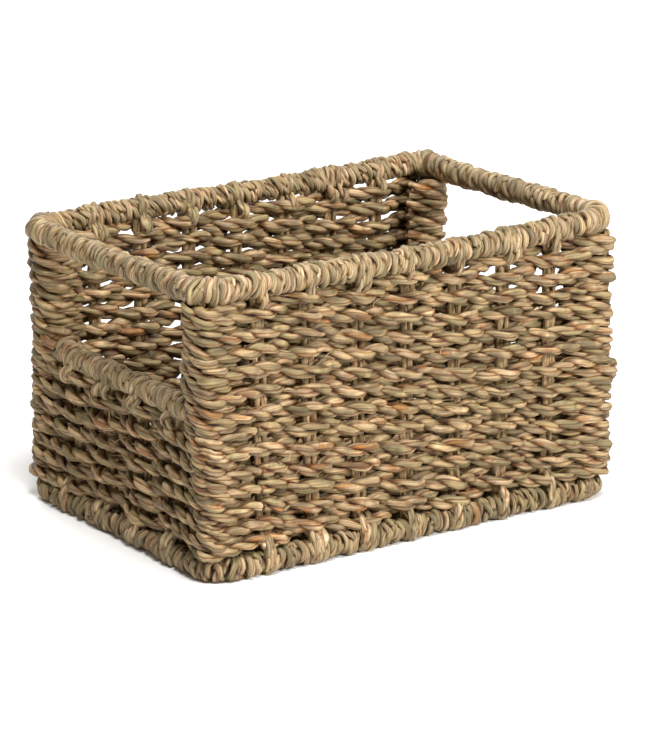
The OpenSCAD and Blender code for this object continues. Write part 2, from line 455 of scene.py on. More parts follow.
def seagrass(name, tint=WHITE, shift=0.0, spread=1.0, shade=1.0, crease=0.5):
    """Dried seagrass with painted shade in its valleys and creases. Shift and spread choose which part
    of the hues it draws from.
    """
    material, tree, shader = new_material(name)
    place = add(tree, "ShaderNodeGroup", node_tree=PLACE).outputs
    fibres = add(tree, "ShaderNodeGroup", node_tree=FIBRES)
    for wanted in ("Fibre", "Blade", "Strand"):
        tree.links.new(place[wanted], fibres.inputs[wanted])
    masks = fibres.outputs

    def chance(salt):
        """A random number for each blade."""
        seed = {"W": calc(tree, "ADD", place["Blade"], salt)}
        return add(tree, "ShaderNodeTexWhiteNoise", seed, noise_dimensions="1D").outputs["Value"]

    hue = calc(tree, "MULTIPLY_ADD", chance(0.0), HUE_STEP * spread, HUE_START + shift)
    pull = HUE_WANDER * spread
    wander = ranged(tree, masks["Patches"], *PATCHES, -pull, pull)
    colour = ramp(tree, calc(tree, "ADD", hue, wander), STRAW)

    tone = calc(tree, "MULTIPLY", ranged(tree, chance(0.37), *OWN_TONE), shade)
    for mask, stretch in TONES.items():
        tone = calc(tree, "MULTIPLY", tone, ranged(tree, masks[mask], *stretch))
    # Painted shade: the valleys between the plies and the creases between the blades are darkened and
    # browned through the ramp SHADE
    depth = ranged(tree, place["Proud"], *VALLEY, 0.0, 1.0)
    depth = calc(tree, "MULTIPLY", depth, ranged(tree, place["Crown"], 0.0, CREASE, crease, 1.0))
    shaded = vector_calc(tree, "MULTIPLY", ramp(tree, depth, SHADE), tint)
    toned = vector_calc(tree, "MULTIPLY", vector_calc(tree, "MULTIPLY", colour, tone), shaded)
    tree.links.new(toned, shader["Base Color"])

    tree.links.new(ranged(tree, masks["Height"], 0.0, 1.0, *ROUGHNESS), shader["Roughness"])
    relief = {"Height": masks["Height"], "Strength": RELIEF_STRENGTH, "Distance": RELIEF_DEPTH}
    tree.links.new(out(add(tree, "ShaderNodeBump", relief)), shader["Normal"])
    shader["Specular IOR Level"].default_value = GLOSS
    return material


BROWNER = (1.0, 0.95, 0.93)
PALER = (1.0, 1.0, 1.07)
cord_finish = seagrass("seagrass cord", BROWNER, shade=0.5, crease=0.35)
rim_finish = seagrass("seagrass wrapping", PALER, spread=0.75, shade=0.57, crease=0.45)
foot_finish = seagrass("seagrass foot wrapping", spread=0.85, shade=0.435, crease=0.45)
stake_finish = seagrass("seagrass stake", BROWNER, shift=0.12, spread=0.6, shade=0.66, crease=0.7)
base_finish = seagrass("seagrass base cord", BROWNER, shade=0.6)
finishes = (cord_finish, rim_finish, foot_finish, stake_finish, base_finish)
print("seagrass finishes:", ", ".join(finish.name for finish in finishes))

# %% [markdown]
# ## Steel
#
# The frame is plain drawn wire, dull grey, with spots of rust where the damp seagrass has
# touched it. A spot is brown, rough and no longer metallic, so one noise drives all three.

# %% Steel material
STEEL = (0.23, 0.225, 0.215, 1.0)
RUST = (0.16, 0.075, 0.035, 1.0)
RUST_SPOTS = 220.0  # spots along a metre
RUST_STARTS = 0.52
RUST_FULL = 0.68
METAL = (1.0, 0.1)  # how metallic steel and rust are
STEEL_ROUGHNESS = (0.3, 0.62)


def steel(name):
    """Dull drawn wire with spots of rust."""
    material, tree, shader = new_material(name)
    place = scaled(tree, out(add(tree, "ShaderNodeTexCoord"), "Object"), RUST_SPOTS)
    noise = out(add(tree, "ShaderNodeTexNoise", {"Vector": place, "Scale": 1.0, "Detail": 5.0}))
    rust = ranged(tree, noise, RUST_STARTS, RUST_FULL, 0.0, 1.0)
    mix = add(tree, "ShaderNodeMix", {"Factor": rust, "A": STEEL, "B": RUST}, data_type="RGBA")
    tree.links.new(out(mix), shader["Base Color"])
    tree.links.new(ranged(tree, rust, 0.0, 1.0, *METAL), shader["Metallic"])
    tree.links.new(ranged(tree, noise, 0.0, 1.0, *STEEL_ROUGHNESS), shader["Roughness"])
    return material


wire_finish = steel("drawn wire")
print("finishes:", [m.name for m in bpy.data.materials])

# %% [markdown]
# ## Geometry trees
#
# Every piece of the basket comes out of one of four geometry trees. A tree takes bare
# paths and gives back finished strands. Its sizes are named inputs, so that one tree makes
# thick cord and thin, tight winding and loose. Attributes carry numbers from one step of a
# tree to the next, and those that the materials read stay on the mesh.

# %% Geometry tree helpers


def new_tree(title, inputs):
    """A geometry tree with a Geometry input, the named inputs and a Geometry output."""
    tree = bpy.data.node_groups.new(title, "GeometryNodeTree")
    tree.interface.new_socket("Geometry", in_out="INPUT", socket_type="NodeSocketGeometry")
    for name, kind in inputs.items():
        tree.interface.new_socket(name, in_out="INPUT", socket_type="NodeSocket" + kind)
    tree.interface.new_socket("Geometry", in_out="OUTPUT", socket_type="NodeSocketGeometry")
    given = tree.nodes.new("NodeGroupInput").outputs
    result = tree.nodes.new("NodeGroupOutput").inputs["Geometry"]
    return tree, given, result


def field(tree, name):
    """What each point knows about itself, such as its Position, Normal or Index."""
    return tree.nodes.new("GeometryNodeInput" + name).outputs[0]


def store(tree, geometry, name, value, data_type="FLOAT", domain="POINT"):
    """Writes a named attribute."""
    inputs = {"Geometry": geometry, "Name": name, "Value": value}
    kind = "GeometryNodeStoreNamedAttribute"
    return out(add(tree, kind, inputs, data_type=data_type, domain=domain))


def recall(tree, name, data_type="FLOAT"):
    """Reads a named attribute back."""
    return out(add(tree, "GeometryNodeInputNamedAttribute", {"Name": name}, data_type=data_type))


def moved(tree, geometry, offset):
    """Every point moved by its own offset."""
    return out(add(tree, "GeometryNodeSetPosition", {"Geometry": geometry, "Offset": offset}))


def turned_about_itself(tree, path):
    """A path whose section turns by the attribute twist."""
    inputs = {"Curve": path, "Tilt": recall(tree, "twist")}
    return out(add(tree, "GeometryNodeSetCurveTilt", inputs))


def swept(tree, path, section, size):
    """A section swept along a path and closed at its ends; size may change on the way."""
    inputs = {"Curve": path, "Profile Curve": section, "Scale": size, "Fill Caps": True}
    return out(add(tree, "GeometryNodeCurveToMesh", inputs))


def finish_tree(tree, parts, material, result):
    """Joins the parts, makes instances real, sets the material and links the output."""
    joined = tree.nodes.new("GeometryNodeJoinGeometry")
    for part in parts:
        tree.links.new(part, joined.inputs[0])
    whole = add(tree, "GeometryNodeRealizeInstances", {"Geometry": out(joined)})
    dressed = add(tree, "GeometryNodeSetMaterial", {"Geometry": out(whole), "Material": material})
    tree.links.new(out(dressed), result)


print("helpers for trees: new_tree, field, store, recall, moved, swept, finish_tree")

# %% [markdown]
# ## Smooth paths and lobed sections
#
# A path arrives as a few points joined by straight edges. Turned into a Catmull-Rom curve
# it goes through all of them without a corner, and taking points at an even step along it
# keeps the faces of a strand the same size everywhere.
#
# The section of a strand is a circle of points with one point pulled in between each two
# lobes. A lobe is the back of one blade of grass, and the point that is pulled in becomes
# a crease that runs the whole length of the strand. This shows as real shadow lines, which
# a pattern in the material alone wouldn't give. The finishes add painted shade along each
# crease as well, found by the attribute crown.

# %% Smooth paths and lobed sections
CURVE_POINTS = 6


def smooth_path(tree, geometry, step):
    """A mesh path as a smooth curve with points at an even step."""
    path = add(tree, "GeometryNodeMeshToCurve", {"Mesh": geometry})
    curved = add(tree, "GeometryNodeCurveSplineType", {"Curve": out(path)}, spline_type="CATMULL_ROM")
    points = {"Geometry": out(curved), "Resolution": CURVE_POINTS}
    fine = add(tree, "GeometryNodeSetSplineResolution", points)
    even = add(tree, "GeometryNodeResampleCurve", {"Curve": out(fine), "Length": step}, mode="LENGTH")
    return out(even)


def lobed_section(tree, points, lobes, depth, size):
    """A closed outline with a crease between each two lobes; size is its half width and height."""
    circle = add(tree, "GeometryNodeCurvePrimitiveCircle", {"Resolution": points, "Radius": 1.0})
    position = field(tree, "Position")
    in_lobe = calc(tree, "MODULO", field(tree, "Index"), float(points // lobes))
    in_crease = calc(tree, "LESS_THAN", in_lobe, 0.5)
    marked = store(tree, out(circle), "round", position, data_type="FLOAT_VECTOR")
    # crown marks the creases, where the finishes add painted shade
    marked = store(tree, marked, "crown", calc(tree, "SUBTRACT", 1.0, in_crease))
    radius = calc(tree, "MULTIPLY_ADD", in_crease, -depth, 1.0 + depth / 3)
    shape = vector_calc(tree, "MULTIPLY", scaled(tree, position, radius), size)
    return out(add(tree, "GeometryNodeSetPosition", {"Geometry": marked, "Position": shape}))


print("helpers for paths and sections: smooth_path, lobed_section")

# %% [markdown]
# ## Noise for unevenness
#
# Nothing that is twisted by hand is even, so positions, thicknesses and turns all get a
# little noise. The noise is a smooth field in space with a fourth coordinate, and another
# value of that one gives another field that has nothing to do with the first. Each strand
# has its own, so two neighbours never wobble together.

# %% Noises


def noise_at(tree, position, wavelength, w):
    """A smooth noise of about one wave in each wavelength; w picks another noise."""
    chosen = {"Vector": scaled(tree, position, 1 / wavelength), "W": w, "Scale": 1.0, "Detail": 1.0}
    return add(tree, "ShaderNodeTexNoise", chosen, noise_dimensions="4D")


def noise_number(tree, position, wavelength, w, amount):
    """A noise between about minus and plus half of the amount."""
    noise = out(noise_at(tree, position, wavelength, w))
    return calc(tree, "MULTIPLY", calc(tree, "SUBTRACT", noise, 0.5), amount)


def noise_vector(tree, position, wavelength, w, amount):
    """A noise in each direction between about minus and plus half of the amount."""
    noise = noise_at(tree, position, wavelength, w).outputs["Color"]
    return scaled(tree, vector_calc(tree, "SUBTRACT", noise, (0.5, 0.5, 0.5)), amount)


print("helpers for noise: noise_number, noise_vector")

# %% [markdown]
# ## Two plies laid round each other
#
# Seagrass cord is two plies laid round each other, and each ply is a few flat blades rolled
# together. To lay them, a point goes round the middle of the cord at each step, on the
# circle that the curve's own normal and the direction across it span. The second ply is
# half a turn behind. A section with three lobes, one for each blade, is swept along each.
# It turns slowly as it goes, and swells and thins by a noise. The rows above press a cord
# a little flat, so the plies stand less high than wide.
#
# The last step measures how far each spot ended up from the middle of the cord. That is
# the attribute `proud`, which the materials use to paint shade into the valleys.

# %% Laid plies
PLY_POINTS = 12
PLY_CREASE = 0.2  # of the radius of the ply
PLY_SHAPE = (1.15, 0.88, 1.0)  # half width and half height of a ply, a little flat
PLY_TURN = -0.35  # of the turn of the cord, the other way
PRESSED = (1.0, 1.0, 0.86)
# Wavelength and amount of the swelling of a ply, and of the small folds in it
SWELL_WAVE, SWELL = 16 * MM, 1.1
FOLD_WAVE, FOLD = 5 * MM, 1.1 * MM
# Added to a seed, these give the swelling of each ply and the folds a noise of their own
SWELL_SEEDS = (3.0, 12.0)
FOLD_SEED = 60.0


def laid_ply(tree, path, given, phase, seed, ply):
    """One ply that circles a curve; ply is 0 or 1."""
    position = field(tree, "Position")
    normal = field(tree, "Normal")
    across = vector_calc(tree, "CROSS_PRODUCT", field(tree, "Tangent"), normal)
    angle = calc(tree, "ADD", phase, math.pi * ply)
    swell_seed = calc(tree, "ADD", seed, SWELL_SEEDS[ply])
    swell = calc(tree, "ADD", noise_number(tree, position, SWELL_WAVE, swell_seed, SWELL), 1.0)
    strand = calc(tree, "MULTIPLY_ADD", recall(tree, "strand"), 2.0, float(ply))
    marked = store(tree, path, "strand", strand)
    marked = store(tree, marked, "swell", swell)
    marked = store(tree, marked, "twist", calc(tree, "MULTIPLY", angle, PLY_TURN))

    side = scaled(tree, normal, calc(tree, "COSINE", angle))
    side = vector_calc(tree, "ADD", side, scaled(tree, across, calc(tree, "SINE", angle)))
    pressed = vector_calc(tree, "MULTIPLY", side, PRESSED)
    circling = moved(tree, marked, scaled(tree, pressed, given["Ply offset"]))
    section = lobed_section(tree, PLY_POINTS, BLADES, PLY_CREASE, PLY_SHAPE)
    size = calc(tree, "MULTIPLY", recall(tree, "swell"), given["Ply radius"])
    body = swept(tree, turned_about_itself(tree, circling), section, size)

    fold = noise_number(tree, position, FOLD_WAVE, calc(tree, "ADD", seed, FOLD_SEED), FOLD)
    folded = moved(tree, body, scaled(tree, normal, fold))
    # proud tells the finishes where to paint shade: low in the valleys between the plies
    away = vector_calc(tree, "SUBTRACT", position, recall(tree, "axis", "FLOAT_VECTOR"))
    length = out(add(tree, "ShaderNodeVectorMath", {0: away}, operation="LENGTH"))
    reach = calc(tree, "ADD", given["Ply offset"], given["Ply radius"])
    return store(tree, folded, "proud", calc(tree, "DIVIDE", length, reach))


def laid_plies(tree, path, given, phase, seed):
    """Two plies that circle a curve half a turn apart, each with its own swell."""
    centred = store(tree, path, "axis", field(tree, "Position"), data_type="FLOAT_VECTOR")
    return [laid_ply(tree, centred, given, phase, seed, ply) for ply in (0, 1)]


print("a ply:", PLY_POINTS, "points round,", BLADES, "blades")

# %% [markdown]
# ## A tree that twists cord
#
# This tree makes all woven cord and the stakes. It smooths the path, lets it sway a little,
# and works out how many whole turns the two plies make on its length. On a closed path
# that has to be a whole number, or the plies wouldn't meet. Each course starts its turns
# somewhere else, so that the crests of two rows don't line up.

# %% Twisted cord tree
CORD_INPUTS = {
    "Ply radius": "Float",
    "Ply offset": "Float",
    "Lay length": "Float",
    "Step": "Float",
    "Unevenness": "Float",
    "Seed": "Int",
    "Material": "Material",
}
COURSE_SEED = 5.31  # courses and pieces get noises of their own by uneven factors
PIECE_SEED = 0.77
SWAY_WAVE, SWAY = 35 * MM, 4.5 * MM
RAGGED_WAVE, RAGGED = 30 * MM, 3.4  # how unevenly the plies turn, in radians
RAGGED_SEED = 40.0
GOLDEN = 0.618  # its multiples spread the starts evenly over a turn


def twisted_cord_tree():
    """Paths in, two-ply cord out."""
    tree, given, result = new_tree("Twisted cord", CORD_INPUTS)
    position = field(tree, "Position")
    course = recall(tree, "course")
    piece_seed = calc(tree, "MULTIPLY", given["Seed"], PIECE_SEED)
    seed = calc(tree, "MULTIPLY_ADD", course, COURSE_SEED, piece_seed)
    even = smooth_path(tree, given["Geometry"], given["Step"])
    amount = calc(tree, "MULTIPLY", given["Unevenness"], SWAY)
    swayed = moved(tree, even, noise_vector(tree, position, SWAY_WAVE, seed, amount))

    spline = tree.nodes.new("GeometryNodeSplineParameter").outputs
    total = tree.nodes.new("GeometryNodeSplineLength").outputs["Length"]
    turns = calc(tree, "ROUND", calc(tree, "DIVIDE", total, given["Lay length"]))
    ragged_seed = calc(tree, "ADD", seed, RAGGED_SEED)
    ragged = noise_number(tree, position, RAGGED_WAVE, ragged_seed, RAGGED)
    start = calc(tree, "FRACT", calc(tree, "MULTIPLY", seed, GOLDEN))
    start = calc(tree, "MULTIPLY", start, 2 * math.pi)
    phase = calc(tree, "MULTIPLY", calc(tree, "MULTIPLY", turns, spline["Factor"]), 2 * math.pi)
    phase = calc(tree, "ADD", calc(tree, "ADD", phase, start), ragged)

    marked = store(tree, swayed, "along", spline["Length"])
    marked = store(tree, marked, "strand", course)
    plies = laid_plies(tree, marked, given, phase, seed)
    finish_tree(tree, plies, given["Material"], result)
    return tree


CORD_TREE = twisted_cord_tree()
print("tree:", CORD_TREE.name, "with inputs", ", ".join(CORD_INPUTS))

# %% [markdown]
# ## One turn of winding
#
# A rim is a wire with cord wound round it, turn beside turn. To wind one long cord would
# mean a path of many metres, so each turn is its own closed ring of two plies. From the
# outside the two can't be told apart, because a turn passes out of sight under the bar.
# The ring waves a little to the sides and nearly keeps its radius, and in every second
# shape the plies are twisted once more.

# %% One turn of cord
WRAP_INPUTS = {
    "Turn radius": "Float",
    "Core radius": "Float",
    "Ply radius": "Float",
    "Ply offset": "Float",
    "Spacing": "Float",
    "Lean": "Float",
    "Lean spread": "Float",
    "Twists": "Float",
    "Unevenness": "Float",
    "Seed": "Int",
    "Material": "Material",
}
RING_POINTS = 24
RING_SHAPES = 5
RING_WAVE, RING_WOBBLE = 7 * MM, 6 * MM
MOSTLY_SIDEWAYS = (0.2, 0.2, 1.0)
WINDING_SEED = 1.31
SHAPE_SEED = 7.7
SHAPE_START = 1.3  # radians between the starts of two shapes


def cord_ring(tree, given, shape):
    """One turn of cord, a little out of true."""
    circle = {"Resolution": RING_POINTS, "Radius": given["Turn radius"]}
    ring = out(add(tree, "GeometryNodeCurvePrimitiveCircle", circle))
    seed = calc(tree, "MULTIPLY_ADD", given["Seed"], WINDING_SEED, SHAPE_SEED * shape)
    amount = calc(tree, "MULTIPLY", given["Unevenness"], RING_WOBBLE)
    wave = noise_vector(tree, field(tree, "Position"), RING_WAVE, seed, amount)
    wobbly = moved(tree, ring, vector_calc(tree, "MULTIPLY", wave, MOSTLY_SIDEWAYS))
    level = out(add(tree, "GeometryNodeSetCurveNormal", {"Curve": wobbly}, mode="Z_UP"))

    spline = tree.nodes.new("GeometryNodeSplineParameter").outputs
    marked = store(tree, level, "along", spline["Length"])
    marked = store(tree, marked, "strand", 0.0)
    twists = calc(tree, "MULTIPLY", calc(tree, "ADD", given["Twists"], shape % 2), -2 * math.pi)
    phase = calc(tree, "MULTIPLY_ADD", spline["Factor"], twists, SHAPE_START * shape)
    joined = tree.nodes.new("GeometryNodeJoinGeometry")
    for ply in laid_plies(tree, marked, given, phase, seed):
        tree.links.new(ply, joined.inputs[0])
    return out(joined)


print("a turn:", RING_POINTS, "points along,", RING_SHAPES, "shapes")

# %% [markdown]
# ## A tree that winds cord round a bar
#
# The tree spaces points along the bar's path and puts one turn on each. Five rings are
# made, and the points pick them one after another. Every turn leans over, is a little
# larger or smaller than the next, and is spun to a random angle about the bar, so that no
# two of the same shape look alike. A core under the turns closes the gaps between them.
# It carries no attribute `proud`, so its finish gives it the darkest painted shade, as a
# shadow between the turns.
#
# Instances don't know which strand they are. So each one is numbered before it is made
# real, and the number is then mixed into the attribute `strand`.

# %% Wound cord tree
CORE_STEP = 4 * MM
CORE_POINTS = 12
CORE_CREASE = 0.05
SIZES = (0.95, 1.05)
UP = (0.0, 0.0, 1.0)


def standing_turns(tree, given, points):
    """A rotation for each turn: across the bar, leaning over, and spun about the bar."""
    index = field(tree, "Index")

    def chance(low, high, salt):
        """A random number for each turn."""
        pick = {"Min": low, "Max": high, "ID": index, "Seed": calc(tree, "ADD", given["Seed"], salt)}
        return out(add(tree, "FunctionNodeRandomValue", pick, data_type="FLOAT"))

    def turned(rotation, axis, angle):
        """A rotation followed by a turn about one of its own axes."""
        by = out(add(tree, "FunctionNodeAxisAngleToRotation", {"Axis": axis, "Angle": angle}))
        both = {"Rotation": rotation, "Rotate By": by}
        return out(add(tree, "FunctionNodeRotateRotation", both, rotation_space="LOCAL"))

    along = points["Tangent"]
    axes = {0: along, 1: vector_calc(tree, "CROSS_PRODUCT", along, UP)}
    across = add(tree, "FunctionNodeAxesToRotation", axes, primary_axis="Z", secondary_axis="X")
    lean = calc(tree, "MULTIPLY_ADD", chance(-1.0, 1.0, 1), given["Lean spread"], given["Lean"])
    swing = calc(tree, "MULTIPLY", chance(-1.0, 1.0, 2), given["Lean spread"])
    stand = turned(out(across), (1.0, 0.0, 0.0), lean)
    stand = turned(stand, (0.0, 1.0, 0.0), swing)
    stand = turned(stand, UP, chance(0.0, 2 * math.pi, 3))
    return stand, chance(*SIZES, 4)


def wound_cord_tree():
    """The path of a bar in, the bar wound with turns of cord out."""
    tree, given, result = new_tree("Wound cord", WRAP_INPUTS)
    length = tree.nodes.new("GeometryNodeSplineParameter").outputs["Length"]
    core_path = store(tree, smooth_path(tree, given["Geometry"], CORE_STEP), "along", length)
    section = lobed_section(tree, CORE_POINTS, BLADES, CORE_CREASE, (1.0, 1.0, 1.0))
    # The core has no attribute proud, so it takes the darkest painted shade of the finish
    core = swept(tree, core_path, section, given["Core radius"])

    rings = tree.nodes.new("GeometryNodeGeometryToInstance")
    for shape in range(RING_SHAPES):
        tree.links.new(cord_ring(tree, given, float(shape)), rings.inputs[0])
    spaced = smooth_path(tree, given["Geometry"], given["Spacing"])
    points = add(tree, "GeometryNodeCurveToPoints", {"Curve": spaced}, mode="EVALUATED").outputs
    rotation, size = standing_turns(tree, given, points)
    placed = {"Points": points["Points"], "Instance": out(rings), "Pick Instance": True}
    placed.update({"Rotation": rotation, "Scale": size})
    turns = out(add(tree, "GeometryNodeInstanceOnPoints", placed))
    number = calc(tree, "ADD", field(tree, "Index"), 1.0)
    numbered = store(tree, turns, "turn", number, domain="INSTANCE")
    whole = out(add(tree, "GeometryNodeRealizeInstances", {"Geometry": numbered}))
    strand = calc(tree, "MULTIPLY_ADD", recall(tree, "turn"), 2.0, recall(tree, "strand"))
    finish_tree(tree, [core, store(tree, whole, "strand", strand)], given["Material"], result)
    return tree


WRAP_TREE = wound_cord_tree()
print("tree:", WRAP_TREE.name, "with inputs", ", ".join(WRAP_INPUTS))

# %% [markdown]
# ## A tree for loose strands
#
# Tucked ends and torn fibres stick out of the walls. Each is a single blade, flat and
# tapered towards both of its ends, and it turns over a little along the way. Half of a
# sine wave under a square root gives the taper: it rises fast at an end and stays wide in
# between.

# %% Loose strand tree
STRAND_INPUTS = {
    "Half width": "Float",
    "Half thickness": "Float",
    "Turn": "Float",
    "Taper": "Float",
    "Step": "Float",
    "Unevenness": "Float",
    "Seed": "Int",
    "Material": "Material",
}
STRAND_POINTS = 10
STRAND_LOBES = 2
STRAND_CREASE = 0.14
# At this proud a loose strand gets almost none of the painted shade of the valleys
STRAND_PROUD = 0.8  # a loose strand stands clear of the valleys
THINNEST = 0.15
LOOSE_SEED = 3.17
STRAND_SWAY_WAVE, STRAND_SWAY = 8 * MM, 2 * MM
STRAND_SWELL_WAVE, STRAND_SWELL = 10 * MM, 0.9
STRAND_TURN_WAVE, STRAND_TURN = 12 * MM, 1.2


def flat_strand_tree():
    """Paths in, flat tapered strands out."""
    tree, given, result = new_tree("Flat strand", STRAND_INPUTS)
    position = field(tree, "Position")
    course = recall(tree, "course")
    seed = calc(tree, "MULTIPLY_ADD", course, LOOSE_SEED, given["Seed"])
    even = smooth_path(tree, given["Geometry"], given["Step"])
    amount = calc(tree, "MULTIPLY", given["Unevenness"], STRAND_SWAY)
    swayed = moved(tree, even, noise_vector(tree, position, STRAND_SWAY_WAVE, seed, amount))

    spline = tree.nodes.new("GeometryNodeSplineParameter").outputs
    hump = calc(tree, "SQRT", calc(tree, "SINE", calc(tree, "MULTIPLY", spline["Factor"], math.pi)))
    taper = calc(tree, "MULTIPLY_ADD", calc(tree, "SUBTRACT", hump, 1.0), given["Taper"], 1.0)
    taper = calc(tree, "MAXIMUM", taper, THINNEST)
    swell = noise_number(tree, position, STRAND_SWELL_WAVE, seed, STRAND_SWELL)
    swell = calc(tree, "MULTIPLY", taper, calc(tree, "ADD", swell, 1.0))
    turn = noise_number(tree, position, STRAND_TURN_WAVE, seed, STRAND_TURN)
    marked = store(tree, swayed, "along", spline["Length"])
    marked = store(tree, marked, "strand", course)
    marked = store(tree, marked, "proud", STRAND_PROUD)
    marked = store(tree, marked, "swell", swell)
    marked = store(tree, marked, "twist", calc(tree, "ADD", given["Turn"], turn))

    flat = combined(tree, given["Half width"], given["Half thickness"], 1.0)
    section = lobed_section(tree, STRAND_POINTS, STRAND_LOBES, STRAND_CREASE, flat)
    body = swept(tree, turned_about_itself(tree, marked), section, recall(tree, "swell"))
    finish_tree(tree, [body], given["Material"], result)
    return tree


STRAND_TREE = flat_strand_tree()
print("tree:", STRAND_TREE.name, "with inputs", ", ".join(STRAND_INPUTS))

# %% [markdown]
# ## A tree for bare wire
#
# Wire is the simplest of the four: a round section swept along a smooth path.

# %% Bare wire tree
WIRE_INPUTS = {"Radius": "Float", "Step": "Float", "Material": "Material"}
WIRE_POINTS = 16


def bare_wire_tree():
    """Paths in, round wire out."""
    tree, given, result = new_tree("Bare wire", WIRE_INPUTS)
    length = tree.nodes.new("GeometryNodeSplineParameter").outputs["Length"]
    path = store(tree, smooth_path(tree, given["Geometry"], given["Step"]), "along", length)
    path = store(tree, path, "strand", recall(tree, "course"))
    section = lobed_section(tree, WIRE_POINTS, 1, 0.0, (1.0, 1.0, 1.0))
    body = swept(tree, path, section, given["Radius"])
    finish_tree(tree, [body], given["Material"], result)
    return tree


WIRE_TREE = bare_wire_tree()
print("geometry trees:", [g.name for g in bpy.data.node_groups if g.type == "GEOMETRY"])

# %% [markdown]
# ## A hand-made shape
#
# No basket like this is square. Its long walls lean in towards the top, the rims wave, and
# the front rows dip beside the corner posts, where the maker pulled the cord tight. One
# end of the top stands a little higher. The lowest rows lift off the bottom rim near the
# front left corner, and the back left corner is pulled in. All paths go through one
# function that adds this, so that rims, rows, stakes and wires stay together. Another
# keeps the lowest strands on the floor.

# %% The hand-made shape
rng = np.random.default_rng(7)

# Length and width of the basket at its foot, and what is added to them up to the top
LONGER = (0.988, 0.022)
NARROWER = (1.026, -0.052)
# Waves: size, how far along x and y a radian takes, radians from foot to top, and start
END_WALL_WAVE = (0.9 * MM, math.inf, 31 * MM, 2.0, 1.3)
LONG_WALL_WAVE = (1.1 * MM, 47 * MM, math.inf, 3.0, 0.4)
ROW_WAVE = (1.1 * MM, 33 * MM, 50 * MM, 9.0, 0.0)
RIM_WAVE = (0.8 * MM, 61 * MM, 43 * MM, 0.0, 0.6)
# Dips of the front rows: share of the full depth, place along x, and half width
DIPS = ((1.3, -post_x + 15 * MM, 9 * MM), (0.6, post_x - 30 * MM, 11 * MM))
DIP_DEPTH = 3.6 * MM
DIP_SHARE, DIP_CHANGE, DIP_TURNS = 0.6, 0.4, 9  # a dip is deeper in some rows than in others
RIGHT_END_RISE = 2.2 * MM
LIFT = 6.5 * MM
LIFT_PLACE, LIFT_WIDTH = -post_x + 23 * MM, 13 * MM
LIFT_FADES_OVER = 30 * MM
RIM_CLEARED, RIM_CLEAR_OVER = 12 * MM, 4 * MM
PULLED_IN, PULL_WIDTH = 4.2 * MM, 32 * MM
SOFT = 0.8 * MM  # height over which a strand near the floor is eased up


def wave(x, y, rise, size, length_x, length_y, climb, start):
    """A wave that runs along and across the basket and up its walls."""
    return size * np.sin(x / length_x + y / length_y + climb * rise + start)


def hump(distance, width):
    """1 where the distance is 0, falling smoothly to nothing over about two widths."""
    return np.exp(-((distance / width) ** 2))


def hand_made(points):
    """The points of a path, moved to where a real basket has them."""
    x, y, z = np.array(points, float).T
    rise = z / top_z
    front = y < 0
    middle = np.clip(4 * rise * (1 - rise), 0, 1)
    new_x = x * (LONGER[0] + LONGER[1] * rise) + wave(x, y, rise, *END_WALL_WAVE)
    new_y = y * (NARROWER[0] + NARROWER[1] * rise) + wave(x, y, rise, *LONG_WALL_WAVE)
    new_z = z + wave(x, y, rise, *ROW_WAVE) * middle + wave(x, y, rise, *RIM_WAVE) * rise

    dip = sum(share * hump(x - place, width) for share, place, width in DIPS) * front
    depth = DIP_DEPTH * (DIP_SHARE + DIP_CHANGE * np.sin(DIP_TURNS * rise))
    new_z -= depth * dip * middle
    new_z += RIGHT_END_RISE * rise * np.clip(x / post_x, 0, 1)
    lift = hump(x - LIFT_PLACE, LIFT_WIDTH) * front * np.exp(-z / LIFT_FADES_OVER)
    new_z += LIFT * lift * np.clip((z - RIM_CLEARED) / RIM_CLEAR_OVER, 0, 1)
    back_left = hump(np.hypot(x + post_x, y - post_y), PULL_WIDTH)
    new_x += PULLED_IN * back_left * np.clip(6 * rise * (1 - rise), 0, 1)
    return np.stack([new_x, new_y, new_z], 1)


def on_the_floor(z):
    """Heights that never go below the floor; the change is smooth."""
    return (z + np.sqrt(z * z + SOFT * SOFT)) / 2


corner_post = [(-post_x, post_y, z) for z in (bottom_z, top_z / 2, top_z)]
shifts = (hand_made(corner_post) - corner_post) / MM
print("the back left post moves, in mm:", shifts.round(1).tolist())

# %% [markdown]
# ## From paths to pieces
#
# A path is a row of points joined by edges, and each path carries the number of its course.
# A piece is made by hanging a tree on such a mesh, filling in the tree's inputs by their
# identifiers, and turning what comes out into a plain mesh that no longer needs the tree.

# %% Running a tree over paths


def path_mesh(name, paths):
    """A mesh of open or closed paths. Each path is its points and whether it closes."""
    points = []
    edges = []
    course = []
    for number, (path, closed) in enumerate(paths):
        first = len(points)
        count = len(path)
        points.extend(map(tuple, hand_made(path)))
        edges.extend((first + i, first + i + 1) for i in range(count - 1))
        if closed:
            edges.append((first + count - 1, first))
        course.extend([float(number)] * count)
    mesh = bpy.data.meshes.new(name)
    mesh.from_pydata(points, edges, [])
    mesh.attributes.new("course", "FLOAT", "POINT").data.foreach_set("value", course)
    return mesh


def run_tree(name, mesh, tree, settings):
    """Runs a tree over a mesh and gives the result as a plain mesh."""
    source = bpy.data.objects.new(name + "_source", mesh)
    bpy.context.collection.objects.link(source)
    modifier = source.modifiers.new("tree", "NODES")
    modifier.node_group = tree
    for item in tree.interface.items_tree:
        if item.in_out == "INPUT" and item.name in settings:
            modifier[item.identifier] = settings[item.name]
    graph = bpy.context.evaluated_depsgraph_get()
    made = bpy.data.meshes.new_from_object(source.evaluated_get(graph), depsgraph=graph)
    bpy.data.objects.remove(source)
    return made


print("a tree's inputs go by identifiers such as", CORD_TREE.interface.items_tree["Seed"].identifier)

# %% [markdown]
# ## A map that unrolls the strands
#
# A finish can be baked to an image only if every face has its own place on a flat map. For
# strands there is a natural one: each is cut open along its length and laid out straight,
# and the strips go one after another in rows, like lines of text. Distance along the strand
# and the side of it are already attributes, so the map needs no unwrapping. Only the faces
# that cross the cut, or the place where a closed cord starts, have to be put back together.

